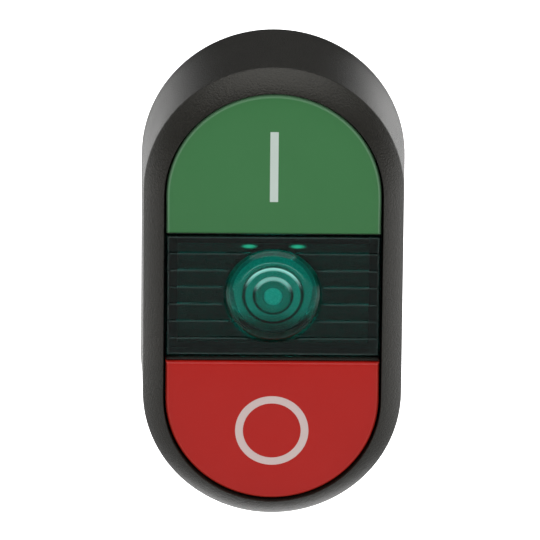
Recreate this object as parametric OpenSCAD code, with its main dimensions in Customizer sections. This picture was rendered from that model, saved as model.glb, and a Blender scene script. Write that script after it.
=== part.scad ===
// Illuminated double pushbutton head for a round 22 mm panel hole.
// The start button is at the top (+Z), the buttons face -Y and the barrel runs back along +Y.
// The origin is on the barrel's axis, in the plane of the panel's front face.

/* [Bezel] */
// Width of the bezel at the panel
bezel_w = 30.4; // [29.6:0.1:37]
// Height of the bezel at the panel, over its round ends
bezel_h = 55.1; // [51.5:0.1:67]
// How far the bezel's front edge stands out from the panel
bezel_depth = 15.9; // [15.9:0.1:22]
// How much narrower each side is at the front than at the panel
bezel_draft = 0.2; // [0:0.05:0.5]
// Width of the sloping rim, from its outer edge to the opening
rim_w = 2.3; // [1.8:0.1:2.4]
// How far the rim rises from its outer edge to the opening
rim_rise = 2.5; // [1.5:0.1:3.5]
// Thickness of the deck inside the bezel
deck_t = 1.0; // [0.8:0.1:1.2]

/* [Buttons] */
// How far a button moves when it is pressed home
travel = 4.0; // [2.5:0.1:4]
// How far the caps lie below the bezel's front edge
cap_sink = 0.4; // [0.2:0.1:0.6]
// Gap between a cap and the bezel
cap_gap = 0.4; // [0.3:0.05:0.6]
// Height of a cap's skirt, face included
cap_skirt = 2.0; // [1.8:0.1:2]
// Thickness of a cap's face
cap_face_t = 1.2; // [1:0.1:1.3]
// Width of the start bar
bar_w = 0.95; // [0.7:0.05:1.5]
// Length of the start bar
bar_l = 8.7; // [6:0.1:10.5]
// Outer diameter of the stop ring
ring_d = 8.5; // [6.5:0.1:10.5]
// Width of the stop ring's line
ring_line = 0.9; // [0.6:0.05:1.4]

/* [Plungers] */
// Diameter of the stem under each cap
stem_d = 5.0; // [4:0.1:6]
// Thickness of the arm that leads from the stem in to the barrel
arm_t = 1.4; // [1.2:0.1:1.4]
// Diameter of the leg that runs back through the barrel
leg_d = 3.2; // [2.6:0.1:3.8]
// Distance of each leg from the barrel's axis
leg_z = 5.5; // [5.3:0.1:5.8]
// Thickness of the push foot on the end of each leg
foot_t = 2.0; // [1.5:0.1:2.5]
// Diameter of the return spring's wire
spring_wire = 0.45; // [0.35:0.05:0.5]
// Number of turns in each return spring
spring_turns = 6; // [4:1:7]

/* [Window] */
// Height of the window between the caps
window_h = 14.8; // [13:0.1:16]
// How far the window lies below the caps
window_sink = 0.8; // [0.8:0.1:1.6]
// Thickness of the window's face
window_t = 1.5; // [1.2:0.1:1.8]
// Distance from one rib of the window to the next
rib_pitch = 2.07; // [1.6:0.01:2.6]
// Diameter of the round lens at its foot
dome_d = 11.4; // [9.5:0.1:12]
// Height of the round lens over the window
dome_rise = 1.0; // [0.8:0.1:2]
// Diameter of the light guide
guide_d = 5.0; // [4:0.1:5.2]

/* [Barrel] */
// Outer diameter of the barrel
barrel_d = 22.0; // [21.4:0.1:22.2]
// Thickness of the barrel's wall, thread included
barrel_wall = 2.0; // [1.5:0.1:2.3]
// Length of the barrel behind the panel
barrel_l = 22.0; // [21.5:0.1:30]
// Length of the plain spigot at the barrel's end, which the contact block adapter grips
spigot_l = 5.0; // [4:0.1:6]
// How far the spigot is set in from the barrel's thread
spigot_step = 1.0; // [0.8:0.1:1.2]
// Distance from one turn of the thread to the next
thread_pitch = 1.5; // [1:0.25:2]
// Depth of the thread
thread_depth = 0.8; // [0.5:0.05:0.9]
// Thickness of the barrel's back plate
plate_t = 1.4; // [1.2:0.1:1.4]
// Thickness of the gasket between the head and the panel
gasket_t = 0.8; // [0.6:0.1:0.8]
// Width of the key that fits the panel's notch
key_w = 2.9; // [2:0.1:3.2]

/* [Nut] */
// Thickness of the panel that the head is shown clamped to
panel_t = 3.0; // [1:0.1:6]
// Thickness of the ring nut's wall round the barrel
nut_wall = 3.2; // [2.6:0.1:4]
// Length of the ring nut
nut_l = 6.5; // [5:0.1:8]
// Thickness of the toothed washer
washer_t = 1.0; // [0.8:0.1:1.5]

/* [Hidden] */

$fn = 96;
cut = 0.02;            // how far a cut runs past the face it opens
stack_gap = 0.3;       // air between moving and fixed pieces, one in front of the other
fit_gap = 0.1;         // air round a piece that is set into another
running_gap = 0.08;    // air round a shaft that slides in its guide
START = 1;
STOP = -1;

// Outlines: every outline is a racetrack with the same straight sides and its own end radius.
straight = (bezel_h - bezel_w) / 2;
bezel_r = bezel_w / 2;
rim_r = bezel_r - bezel_draft;
opening_r = rim_r - rim_w;
cap_r = opening_r - cap_gap;
bezel_foot = 0.2;      // the bezel's back edge stops this far short of the panel
lip_h = 0.8;           // height of the small step round the bezel's back edge
lip_out = 0.12;        // how far that step stands out
rebate_r = bezel_r - 1.4;

// Levels, measured from the panel towards the user.
rim_edge_at = bezel_depth - rim_rise;
cap_face_at = bezel_depth - cap_sink;
cap_back_at = cap_face_at - cap_skirt;
cap_under_at = cap_face_at - cap_face_t;
deck_front_at = cap_back_at - travel - stack_gap;
deck_back_at = deck_front_at - deck_t;
arm_front_at = deck_back_at - stack_gap;
arm_back_at = arm_front_at - arm_t;
plate_front_at = gasket_t + plate_t;

// Caps and plungers
cap_edge = 0.3;        // bevel round a cap's face
cap_wall = 1.1;
mark_t = 0.5;
window_gap = 0.5;
cap_start_z = window_h / 2 + window_gap;
stem_r = stem_d / 2;
head_r = 4.5;
head_t = cap_under_at - cap_back_at;
head_wall = 0.8;
arm_w = stem_d;
leg_r = leg_d / 2;
collar_r = leg_r + 0.8;
collar_t = 1.0;
collar_at = -2;
spring_r = leg_r + 0.15 + spring_wire / 2;
boot_bead_r = 6.9;
stem_z = cap_start_z + boot_bead_r + 1.5;
bar_z = stem_z - 0.4;
boot_bead_w = 0.9;
boot_bead_sink = 0.5;
boot_bead_up = 0.2;
boot_wall = 0.45;
boot_lip = 0.6;
deck_hole_r = 5.0;

// Window and light path
window_face_at = cap_face_at - window_sink;
window_wall = 1.3;
window_seal_t = 1.0;
window_back_at = deck_front_at + window_seal_t;
rib_rise = 0.25;
rib_w = 0.5;
rib_margin = 0.9;
rib_count = floor(window_h / rib_pitch) - 1;
dome_r = dome_d / 2;
step_r = dome_r - 1.1;
dome_steps = 4;
dome_wall = 1.1;       // what is left of the lens over its deepest step
turret_x = cap_r - window_wall - fit_gap;
turret_z = window_h / 2 - window_wall - fit_gap;
turret_top_at = window_face_at - window_t - fit_gap;
well_r = step_r + fit_gap;
diffuser_t = 1.1;
diffuser_top_at = turret_top_at - fit_gap;
guide_r = guide_d / 2;
guide_top_at = diffuser_top_at - diffuser_t;
guide_collar_t = 1.0;
guide_collar_r = guide_r + 0.9;
o_ring_section = 1.0;
guide_collar_at = deck_back_at - o_ring_section;

// Barrel and what is inside it
barrel_r = barrel_d / 2;
bore_r = barrel_r - barrel_wall;
shoulder_l = 2.0;      // plain length of the barrel in front of the thread
thread_end = barrel_l - spigot_l;
spigot_r = barrel_r - spigot_step;
thread_count = floor((thread_end - thread_depth - shoulder_l) / thread_pitch);
key_l = 0.9;
key_out = 1.7;
guide_plate_front = 12;
guide_plate_t = 2.0;
foot_front = guide_plate_front + guide_plate_t + stack_gap;
foot_back = foot_front + foot_t;
foot_r = bore_r - 1.2;
guide_end = guide_plate_front + guide_plate_t + 1.0;
slot_w = 3.0;
slot_l = 2.0;
hook_w = 4.0;
hook_t = 1.0;
hook_z = 8.0;
hook_top_at = plate_front_at + 2.8;
hook_nose = 0.45;

// Nut and washer
nut_r = barrel_r + nut_wall;
nut_bore_r = barrel_r + 0.05;
flute_r = 1.3;
flutes = 12;
washer_teeth = 24;
washer_r = nut_r - 0.4;

// Every piece is drawn as it is seen from the front: X to the right, Y up, Z towards the user.
module face_on() {
    rotate([90, 0, 0]) children();
}

// The profile in the first quadrant (radius, height) swept round a racetrack outline.
module racetrack() {
    for (end = [-1, 1]) translate([0, end * straight, 0]) rotate_extrude() children();
    rotate([90, 0, 0]) linear_extrude(2 * straight, center = true) {
        children();
        mirror([1, 0]) children();
    }
}

// A racetrack block of one radius, from one height to another.
module racetrack_block(r, low, high) {
    racetrack() translate([0, low]) square([r, high - low]);
}

// A round bar along the user's line of sight.
module bar(r, low, high) {
    translate([0, 0, low]) cylinder(h = high - low, r = r);
}

// A square-cornered block between two heights, centred across.
module block(w, l, low, high) {
    translate([-w / 2, -l / 2, low]) cube([w, l, high - low]);
}

module clip_hooks() {
    for (x = [-1, 1], z = [-1, 1]) {
        translate([x * (opening_r - fit_gap - hook_t / 2), z * hook_z, 0])
            block(hook_t, hook_w, plate_front_at, hook_top_at);
        translate([x * (opening_r - fit_gap - hook_t / 2 + hook_nose / 2), z * hook_z, 0])
            block(hook_t + hook_nose, hook_w, hook_top_at - 0.8, hook_top_at);
    }
}

module clip_windows() {
    for (x = [-1, 1], z = [-1, 1])
        translate([x * opening_r, z * hook_z, 0])
            block(2 * hook_nose + 0.3, hook_w + 0.4, hook_top_at - 0.9, hook_top_at + 0.2);
}

module bezel_outside() {
    racetrack() polygon([[0, bezel_foot],
        [bezel_r + lip_out - 0.2, bezel_foot], [bezel_r + lip_out, bezel_foot + 0.2],
        [bezel_r + lip_out, lip_h], [bezel_r, lip_h + 0.15],
        [rim_r, rim_edge_at], [rim_r - 0.08, rim_edge_at + 0.12],
        [rim_r - 0.45 * rim_w, rim_edge_at + 0.55 * rim_rise],
        [opening_r + 0.15, bezel_depth], [0, bezel_depth]]);
}

module turret() {
    block(2 * turret_x, 2 * turret_z, deck_back_at, turret_top_at);
}

module bezel() {
    color([0.13, 0.13, 0.12]) face_on() difference() {
        union() {
            difference() {
                bezel_outside();
                racetrack_block(opening_r, deck_front_at, bezel_depth + cut);
            }
            turret();
        }
        racetrack_block(opening_r, bezel_foot - cut, deck_back_at);
        racetrack_block(rebate_r, bezel_foot - cut, plate_front_at);
        clip_windows();
        bar(well_r, deck_front_at, turret_top_at + cut);
        bar(guide_r + fit_gap, deck_back_at - cut, deck_front_at + cut);
        for (s = [START, STOP]) translate([0, s * stem_z, 0]) {
            bar(deck_hole_r, deck_back_at - cut, deck_front_at + cut);
            difference() {
                bar(boot_bead_r, deck_front_at - boot_bead_sink, deck_front_at + cut);
                bar(boot_bead_r - boot_bead_w, deck_front_at - boot_bead_sink - cut,
                    deck_front_at + 2 * cut);
            }
        }
    }
}

module thread_profile() {
    polygon(concat([[0, 0], [barrel_r, 0], [barrel_r, shoulder_l]],
        [for (i = [0 : thread_count - 1], p = [[0.15, 1], [0.5, 0], [0.65, 0], [1, 1]])
            [barrel_r - (1 - p[1]) * thread_depth, shoulder_l + (i + p[0]) * thread_pitch]],
        [[barrel_r, thread_end - thread_depth], [spigot_r, thread_end],
         [spigot_r, barrel_l], [0, barrel_l]]));
}

module barrel() {
    color([0.16, 0.16, 0.15]) face_on() difference() {
        union() {
            racetrack_block(rebate_r - fit_gap, gasket_t, plate_front_at);
            bar(barrel_r, -cut, plate_front_at);
            rotate([180, 0, 0]) rotate_extrude() thread_profile();
            translate([0, barrel_r + (key_out - 1) / 2, 0])
                block(key_w, key_out + 1, -key_l, gasket_t + cut);
            clip_hooks();
        }
        bar(bore_r, -barrel_l - cut, plate_front_at + cut);
        for (side = [0, 180]) rotate(side) translate([barrel_r, 0, 0])
            block(2 * (barrel_r - bore_r) + 2, slot_w, -barrel_l - cut, slot_l - barrel_l);
    }
}

// The D-shaped outline of a cap, with a bevelled face edge: r is the end radius and start the
// distance of the straight edge from the middle of the head.
module cap_solid(r, start, low, high, edge) {
    intersection() {
        racetrack() polygon([[0, low], [r, low], [r, high - edge], [r - edge, high], [0, high]]);
        translate([0, start, 0]) rotate([90, 0, 90]) linear_extrude(2 * r + 2, center = true)
            polygon([[0, low - 1], [0, high - edge], [edge, high], [edge, high + 1],
                     [straight + r + 1, high + 1], [straight + r + 1, low - 1]]);
    }
}

module start_bar(grow) {
    translate([0, bar_z, 0])
        block(bar_w, bar_l, cap_face_at - mark_t, cap_face_at + grow);
}

module stop_ring(grow) {
    translate([0, -stem_z, 0]) difference() {
        bar(ring_d / 2, cap_face_at - mark_t, cap_face_at + grow);
        bar(ring_d / 2 - ring_line, cap_face_at - mark_t - cut, cap_face_at + grow + cut);
    }
}

// One cap, drawn for the start side. Its mark's pocket is cut by the caller.
module cap_shell() {
    difference() {
        cap_solid(cap_r, cap_start_z, cap_back_at, cap_face_at, cap_edge);
        difference() {
            cap_solid(cap_r - cap_wall, cap_start_z + cap_wall, cap_back_at - cut, cap_under_at, 0);
            translate([0, stem_z, 0]) bar(head_r + fit_gap + head_wall, cap_back_at - 1, cap_face_at);
        }
        translate([0, stem_z, 0]) bar(head_r + fit_gap, cap_back_at - cut, cap_under_at);
    }
}

module start_cap() {
    color([0.27, 0.45, 0.28]) face_on() difference() {
        cap_shell();
        start_bar(cut);
    }
}

module start_mark() {
    color([0.9, 0.92, 0.9]) face_on() start_bar(0);
}

module stop_cap() {
    color([0.65, 0.18, 0.15]) face_on() difference() {
        rotate(180) cap_shell();
        stop_ring(cut);
    }
}

module stop_mark() {
    color([0.93, 0.9, 0.9]) face_on() stop_ring(0);
}

// The carrier under one cap, drawn for the start side: head, stem, arm and leg.
module plunger() {
    translate([0, stem_z, 0]) {
        bar(head_r, cap_back_at, cap_under_at);
        bar(stem_r, arm_front_at, cap_back_at);
        bar(stem_r, arm_back_at, arm_front_at);
    }
    translate([0, (stem_z + leg_z) / 2, 0])
        block(arm_w, stem_z - leg_z, arm_back_at, arm_front_at);
    translate([0, leg_z, 0]) {
        block(arm_w, 2 * leg_r, arm_back_at, arm_front_at);
        bar(leg_r, -foot_back, arm_back_at);
        bar(collar_r, collar_at - collar_t, collar_at);
    }
}

module start_plunger() {
    color([0.85, 0.85, 0.82]) face_on() plunger();
}

module stop_plunger() {
    color([0.85, 0.85, 0.82]) face_on() rotate(180) plunger();
}

// The push foot, a half ring that clears the light guide.
module foot() {
    difference() {
        bar(foot_r, -foot_back, -foot_front);
        bar(guide_r + 0.8, -foot_back - cut, -foot_front + cut);
        translate([0, 0.6 - barrel_d, 0])
            block(2 * barrel_d, 2 * barrel_d, -foot_back - cut, -foot_front + cut);
        translate([0, leg_z, 0]) bar(leg_r, -foot_back - cut, -foot_front + cut);
    }
}

module start_foot() {
    color([0.75, 0.75, 0.72]) face_on() foot();
}

module stop_foot() {
    color([0.75, 0.75, 0.72]) face_on() rotate(180) foot();
}

// A closed round coil spring on the Z axis between two heights, its end turns lying flat.
spring_steps = 14;     // rings of points in one turn
spring_sides = 8;
spring_low = -guide_plate_front;
spring_high = collar_at - collar_t;
// Share of the spring's length reached after u of n turns: slow in the end turns.
function rise(u, n) = u < 1 ? 0.06 * u * u : u > n - 1 ? 1 - 0.06 * (n - u) * (n - u)
    : 0.06 + 0.88 * (u - 1) / (n - 2);
function ring_point(u, k, n, low, high) =
    let (turn = 360 * u, around = 360 * (k + 0.5) / spring_sides,
         r = spring_r + spring_wire / 2 * cos(around))
    [r * cos(turn), r * sin(turn), low + (high - low) * rise(u, n) + spring_wire / 2 * sin(around)];

module coil_spring() {
    half = spring_wire / 2 * cos(180 / spring_sides);
    rings = spring_turns * spring_steps;
    points = [for (i = [0 : rings], k = [0 : spring_sides - 1])
        ring_point(i / spring_steps, k, spring_turns, spring_low + half, spring_high - half)];
    sides = [for (i = [0 : rings - 1], k = [0 : spring_sides - 1])
        let (a = i * spring_sides, b = (k + 1) % spring_sides)
        each [[a + k, a + spring_sides + k, a + b],
              [a + b, a + spring_sides + k, a + spring_sides + b]]];
    first = [for (k = [0 : spring_sides - 1]) k];
    last = [for (k = [spring_sides - 1 : -1 : 0]) rings * spring_sides + k];
    polyhedron(points, concat([first], sides, [last]));
}

module start_spring() {
    color([0.7, 0.7, 0.72]) face_on() translate([0, leg_z, 0]) coil_spring();
}

module stop_spring() {
    color([0.7, 0.7, 0.72]) face_on() translate([0, -leg_z, 0]) coil_spring();
}

// The diaphragm round a stem: a bead in the deck's groove, a cone and a lip that grips the stem.
module boot() {
    bead_low = deck_front_at - boot_bead_sink;
    bead_top = deck_front_at + boot_bead_up;
    bead_in = boot_bead_r - boot_bead_w;
    lip_top = cap_back_at - 0.1;
    lip_low = lip_top - 1.0;
    rotate_extrude() polygon([[bead_in, bead_low], [boot_bead_r, bead_low], [boot_bead_r, bead_top],
        [bead_in + boot_wall, bead_top], [stem_r + boot_lip, lip_low + 0.3],
        [stem_r + boot_lip, lip_top], [stem_r, lip_top], [stem_r, lip_low],
        [stem_r + boot_lip - 0.2, lip_low], [bead_in, bead_top - boot_wall + 0.25]]);
}

module start_boot() {
    color([0.3, 0.3, 0.3]) face_on() translate([0, stem_z, 0]) boot();
}

module stop_boot() {
    color([0.3, 0.3, 0.3]) face_on() translate([0, -stem_z, 0]) boot();
}

// The round lens stands up as a low cone. The rings are steps in the recess behind it.
module dome() {
    rotate_extrude() polygon([[0, window_face_at - 0.5], [dome_r, window_face_at - 0.5],
        [dome_r, window_face_at + 0.2], [step_r, window_face_at + dome_rise],
        [0, window_face_at + dome_rise]]);
}

module dome_recess() {
    under = window_face_at - window_t;
    rise = (dome_rise + window_t - dome_wall) / dome_steps;
    for (i = [1 : dome_steps])
        bar(step_r * (dome_steps + 0.9 - i) / dome_steps, under - cut, under + i * rise);
}

module window() {
    color([0.1, 0.3, 0.22, 0.8]) face_on() difference() {
        union() {
            block(2 * cap_r, window_h, window_back_at, window_face_at);
            for (i = [0 : rib_count - 1])
                translate([0, (i - (rib_count - 1) / 2) * rib_pitch, window_face_at - cut])
                    rotate([90, 0, 90]) linear_extrude(2 * (cap_r - rib_margin), center = true)
                        polygon([[-rib_w / 2, 0], [rib_w / 2, 0], [0, rib_rise + cut]]);
            dome();
        }
        block(2 * (cap_r - window_wall), window_h - 2 * window_wall,
              window_back_at - cut, window_face_at - window_t);
        dome_recess();
    }
}

module window_seal() {
    color([0.1, 0.1, 0.1]) face_on() difference() {
        block(2 * cap_r, window_h, deck_front_at, window_back_at);
        block(2 * turret_x + 0.1, 2 * turret_z + 0.1, deck_front_at - cut, window_back_at + cut);
    }
}

module diffuser() {
    color([0.85, 0.95, 0.88]) face_on()
        bar(well_r - fit_gap, diffuser_top_at - diffuser_t, diffuser_top_at);
}

module light_guide() {
    color([0.85, 0.9, 0.9, 0.6]) face_on() {
        bar(guide_r, -guide_end, guide_top_at);
        bar(guide_collar_r, guide_collar_at - guide_collar_t, guide_collar_at);
    }
}

module guide_o_ring() {
    color([0.08, 0.08, 0.08]) face_on() translate([0, 0, deck_back_at - o_ring_section / 2])
        rotate_extrude() translate([guide_r + o_ring_section / 2, 0]) circle(d = o_ring_section);
}

module guide_plate() {
    color([0.8, 0.8, 0.76]) face_on() difference() {
        bar(bore_r, -guide_plate_front - guide_plate_t, -guide_plate_front);
        bar(guide_r + running_gap, -guide_plate_front - guide_plate_t - cut, -guide_plate_front + cut);
        for (s = [START, STOP]) translate([0, s * leg_z, 0])
            bar(leg_r + running_gap, -guide_plate_front - guide_plate_t - cut,
                -guide_plate_front + cut);
    }
}

module panel_gasket() {
    color([0.12, 0.12, 0.12]) face_on() difference() {
        racetrack_block(rebate_r - fit_gap, 0, gasket_t);
        bar(barrel_r, -cut, gasket_t + cut);
        translate([0, barrel_r + (key_out - 1) / 2, 0])
            block(key_w + 0.1, key_out + 1.1, -cut, gasket_t + cut);
    }
}

module lock_washer() {
    color([0.75, 0.76, 0.78]) face_on() difference() {
        bar(washer_r, -panel_t - washer_t, -panel_t);
        bar(nut_bore_r + 0.1, -panel_t - washer_t - cut, -panel_t + cut);
        for (i = [0 : washer_teeth - 1]) rotate(i * 360 / washer_teeth)
            translate([washer_r, 0, -panel_t - washer_t - cut])
                cylinder(h = washer_t + 2 * cut, r = 0.9, $fn = 4);
    }
}

module ring_nut() {
    front = -panel_t - washer_t;
    color([0.2, 0.2, 0.19]) face_on() difference() {
        translate([0, 0, front - nut_l]) rotate_extrude()
            polygon([[nut_bore_r, 0], [nut_r - 0.6, 0], [nut_r, 0.6], [nut_r, nut_l - 0.3],
                     [nut_r - 0.3, nut_l], [nut_bore_r, nut_l]]);
        for (i = [0 : flutes - 1]) rotate(i * 360 / flutes) translate([nut_r + 0.3, 0, 0])
            bar(flute_r, front - nut_l - cut, front - 1.2);
    }
}

bezel();
barrel();
start_cap();
start_mark();
stop_cap();
stop_mark();
start_plunger();
stop_plunger();
start_foot();
stop_foot();
start_spring();
stop_spring();
start_boot();
stop_boot();
window();
window_seal();
diffuser();
light_guide();
guide_o_ring();
guide_plate();
panel_gasket();
lock_washer();
ring_nut();
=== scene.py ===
from math import cos, hypot, pi, radians, sin, tau

import bmesh
import bpy
from mathutils import Matrix, Vector


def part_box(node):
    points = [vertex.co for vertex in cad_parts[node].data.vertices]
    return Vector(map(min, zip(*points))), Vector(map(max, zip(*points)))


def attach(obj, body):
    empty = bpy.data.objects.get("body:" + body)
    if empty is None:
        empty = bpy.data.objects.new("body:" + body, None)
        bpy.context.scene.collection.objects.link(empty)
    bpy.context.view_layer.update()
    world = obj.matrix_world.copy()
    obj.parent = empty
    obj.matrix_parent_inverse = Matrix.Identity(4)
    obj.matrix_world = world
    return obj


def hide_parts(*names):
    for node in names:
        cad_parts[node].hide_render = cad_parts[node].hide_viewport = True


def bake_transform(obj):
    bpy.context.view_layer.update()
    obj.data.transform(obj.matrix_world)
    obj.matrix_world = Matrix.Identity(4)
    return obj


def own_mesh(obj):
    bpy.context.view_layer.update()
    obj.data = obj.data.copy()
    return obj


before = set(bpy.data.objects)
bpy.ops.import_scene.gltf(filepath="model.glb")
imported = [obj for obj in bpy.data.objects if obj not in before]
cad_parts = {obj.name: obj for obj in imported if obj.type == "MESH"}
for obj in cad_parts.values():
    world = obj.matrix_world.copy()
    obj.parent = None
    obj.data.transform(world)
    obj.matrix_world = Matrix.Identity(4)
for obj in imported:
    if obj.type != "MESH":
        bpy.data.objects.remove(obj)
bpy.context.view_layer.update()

# ---------------------------------------------------------------- camera
# A long lens looks down on the head by about twenty degrees and from a hair to its left.
# Places are written as they are seen from the front: across, up and out from the panel, in mm.
MM = 0.001
CAMERA_ELEVATION = radians(19.85)
CAMERA_AZIMUTH = radians(-0.5)
CAMERA_ROLL = radians(0.55)
CAMERA_DISTANCE = 990
LENS = 572.7
AIM_LEFT = 0.35
AIM_UP = 3.27


def at(across, up, out=0.0):
    """The place in metres of a point given in mm as it is seen from the front."""
    return Vector((across, -out, up)) * MM


def box_of(node):
    """Lowest and highest corner of a CAD node, in mm: across, behind the panel, up."""
    low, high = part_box(node)
    return low / MM, high / MM


cap_face = -box_of("start_cap")[0].y

to_camera = Vector((sin(CAMERA_AZIMUTH) * cos(CAMERA_ELEVATION),
                    -cos(CAMERA_AZIMUTH) * cos(CAMERA_ELEVATION), sin(CAMERA_ELEVATION)))
facing = (-to_camera).to_track_quat("-Z", "Y").to_matrix()
rolled = facing @ Matrix.Rotation(CAMERA_ROLL, 3, "Z")
aim = at(0, 0, cap_face) + rolled @ Vector((-AIM_LEFT, AIM_UP, 0)) * MM
camera_data = bpy.data.cameras.new("camera")
camera_data.lens = LENS
camera_data.sensor_width = 36.0
camera = bpy.data.objects.new("camera", camera_data)
camera.matrix_world = Matrix.Translation(aim + to_camera * CAMERA_DISTANCE * MM) @ rolled.to_4x4()
bpy.context.scene.collection.objects.link(camera)
bpy.context.scene.camera = camera
bpy.context.scene.view_settings.view_transform = "Standard"

# ---------------------------------------------------------------- studio
# The head hangs over a pale light table, which glows behind it, at both sides and just beneath it.
# A wide softbox hangs over it, one stands at each side of the camera, two weak ones fill in from
# the sides, and two low strips far behind it light the corners of the bezel's wall.
FLOOR_DROP = 90
FLOOR_SIZE = 12.0


def linear(hex_colour):
    """A linear colour from an sRGB hex string."""
    parts = [int(hex_colour[i:i + 2], 16) / 255 for i in (1, 3, 5)]
    return tuple(c / 12.92 if c <= 0.04045 else ((c + 0.055) / 1.055) ** 2.4 for c in parts) + (1.0,)


def add_node(tree, kind, settings=None, inputs=None):
    """Adds a node, sets its properties, and sets or links its inputs."""
    made = tree.nodes.new(kind)
    for name, value in (settings or {}).items():
        setattr(made, name, value)
    for socket, value in (inputs or {}).items():
        if isinstance(value, bpy.types.NodeSocket):
            tree.links.new(value, made.inputs[socket])
        else:
            made.inputs[socket].default_value = value
    return made


def new_material(name):
    """An empty material and its node tree."""
    material = bpy.data.materials.new(name)
    material.use_nodes = True
    material.node_tree.nodes.clear()
    return material, material.node_tree


def show(tree, shader):
    """Makes a shader the material's surface."""
    add_node(tree, "ShaderNodeOutputMaterial", inputs={"Surface": shader.outputs[0]})


world = bpy.data.worlds.new("dim_room")
bpy.context.scene.world = world
world.use_nodes = True
world.node_tree.nodes["Background"].inputs["Color"].default_value = (0.9, 0.95, 1.0, 1.0)
world.node_tree.nodes["Background"].inputs["Strength"].default_value = 0.08

# A matt white table that glows in soft-edged patches, so black gloss has something to reflect.
table_white, tree = new_material("white_light_table")
table_coords = add_node(tree, "ShaderNodeTexCoord").outputs["Object"]
table_noise = add_node(tree, "ShaderNodeTexNoise", inputs={"Vector": table_coords, "Scale": 3.0})
table_tone = add_node(tree, "ShaderNodeMapRange", inputs={
    "Value": table_noise.outputs["Fac"], "To Min": 0.49, "To Max": 0.51})
table_place = add_node(tree, "ShaderNodeSeparateXYZ", inputs={"Vector": table_coords})


def fade(tree, value, start, end, strength):
    """A smooth rise from nothing at start to a strength at end."""
    return add_node(tree, "ShaderNodeMapRange", {"interpolation_type": "SMOOTHSTEP"}, {
        "Value": value, "From Min": start, "From Max": end, "To Min": 0.0, "To Max": strength}).outputs[0]


def combine(tree, operation, first, second):
    """One step of arithmetic on two values."""
    return add_node(tree, "ShaderNodeMath", {"operation": operation}, {0: first, 1: second}).outputs[0]


table_x, table_y = table_place.outputs["X"], table_place.outputs["Y"]
table_off = combine(tree, "ABSOLUTE", table_x, 0.0)
glow_behind = fade(tree, table_y, 0.08, 0.2, 0.9)
glow_sides = combine(tree, "MULTIPLY", fade(tree, table_y, -0.3, -0.1, 1.0), combine(
    tree, "ADD", fade(tree, table_x, -0.13, -0.3, 0.75), fade(tree, table_x, 0.13, 0.3, 1.05)))
glow_under = combine(tree, "MULTIPLY", fade(tree, table_y, 0.015, 0.04, 1.8),
                     fade(tree, table_off, 0.085, 0.03, 1.0))
glow = combine(tree, "MAXIMUM", combine(tree, "MAXIMUM", glow_behind, glow_sides), glow_under)
show(tree, add_node(tree, "ShaderNodeBsdfPrincipled", inputs={
    "Base Color": table_tone.outputs[0], "Roughness": 0.9, "Specular IOR Level": 0.1,
    "Emission Color": (1.0, 1.0, 1.0, 1.0), "Emission Strength": glow}))

floor_mesh = bpy.data.meshes.new("floor")
bm = bmesh.new()
bmesh.ops.create_circle(bm, cap_ends=True, segments=64, radius=FLOOR_SIZE / 2)
floor_level = box_of("bezel")[0].z - FLOOR_DROP
bmesh.ops.translate(bm, vec=at(0, floor_level), verts=bm.verts)
bm.to_mesh(floor_mesh)
bm.free()
floor_mesh.materials.append(table_white)
floor = bpy.data.objects.new("floor", floor_mesh)
bpy.context.scene.collection.objects.link(floor)


def softbox(name, place, target, width, height, radiance):
    """A rectangular soft light of even radiance, at a place in metres and facing its target."""
    data = bpy.data.lights.new(name, "AREA")
    data.shape = "RECTANGLE"
    data.size = width
    data.size_y = height
    data.energy = radiance * pi * width * height
    light = bpy.data.objects.new(name, data)
    light.location = place
    turn = (Vector(target) - Vector(place)).to_track_quat("-Z", "Y")
    light.rotation_euler = turn.to_euler()
    bpy.context.scene.collection.objects.link(light)
    return light


softbox("softbox_over", (0, -0.1, 1.6), (0, -0.1, 0), 2.6, 2.4, 1.5)
# The two side boxes are hidden from glossy rays, so they light the plastic without showing as a
# glare on its gloss. No real lamp does quite this, though a polarising filter comes near.
for side_box in (softbox("softbox_left", (-1.15, -1.05, 0.55), (0, 0, 0), 1.3, 1.3, 2.15),
                 softbox("softbox_right", (1.15, -1.05, 0.55), (0, 0, 0), 1.3, 1.3, 2.35)):
    side_box.visible_glossy = False
softbox("bounce_left", (-1.5, 0, 0.9), (0, 0, 0), 0.8, 0.8, 0.5)
softbox("bounce_right", (1.5, 0, 0.9), (0, 0, 0), 0.8, 0.8, 0.6)
softbox("strip_behind_left", (-1.6, 2.1, 0.05), (0, 0, 0), 1.2, 0.6, 2.0)
softbox("strip_behind_right", (1.6, 2.1, 0.05), (0, 0, 0), 1.2, 0.6, 3.0)

# ---------------------------------------------------------------- bezel
# The bezel is one glass-filled nylon moulding, black, with a fine spark-eroded texture on the
# outside. Its wall follows a racetrack outline, a deck across it carries the window's turret, and
# two thin ridges, which the CAD bezel lacks, part the window from the caps.
STEPS = 64             # steps in each half-round end
WALL_DRAFT = 0.2
RIM_WIDTH = 2.3
OPENING_TIGHT = 0.1    # how much smaller the opening is than in the CAD
RIM_RISE = 2.5
RIM_BULGE = 0.16
LIP_HEIGHT = 0.8
LIP_FLARE = 1.6
LIP_OUT = 0.12
WALL_THICKNESS = 1.4
DECK_THICKNESS = 1.0
DECK_HOLE_R = 5.0      # round each button's stem
GUIDE_HOLE_R = 2.6
PLATE_THICKNESS = 1.4
WINDOW_WALL = 1.3
SET_IN = 0.1           # air round a piece that is set into another
RIDGE_THICKNESS = 0.3
UPPER_RIDGE_DROP = 1.0   # how far each ridge's top lies behind the caps' faces
LOWER_RIDGE_DROP = 0.45
GREEN_REACH = 0.12     # how much nearer the green cap comes to the window than the red one

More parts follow.
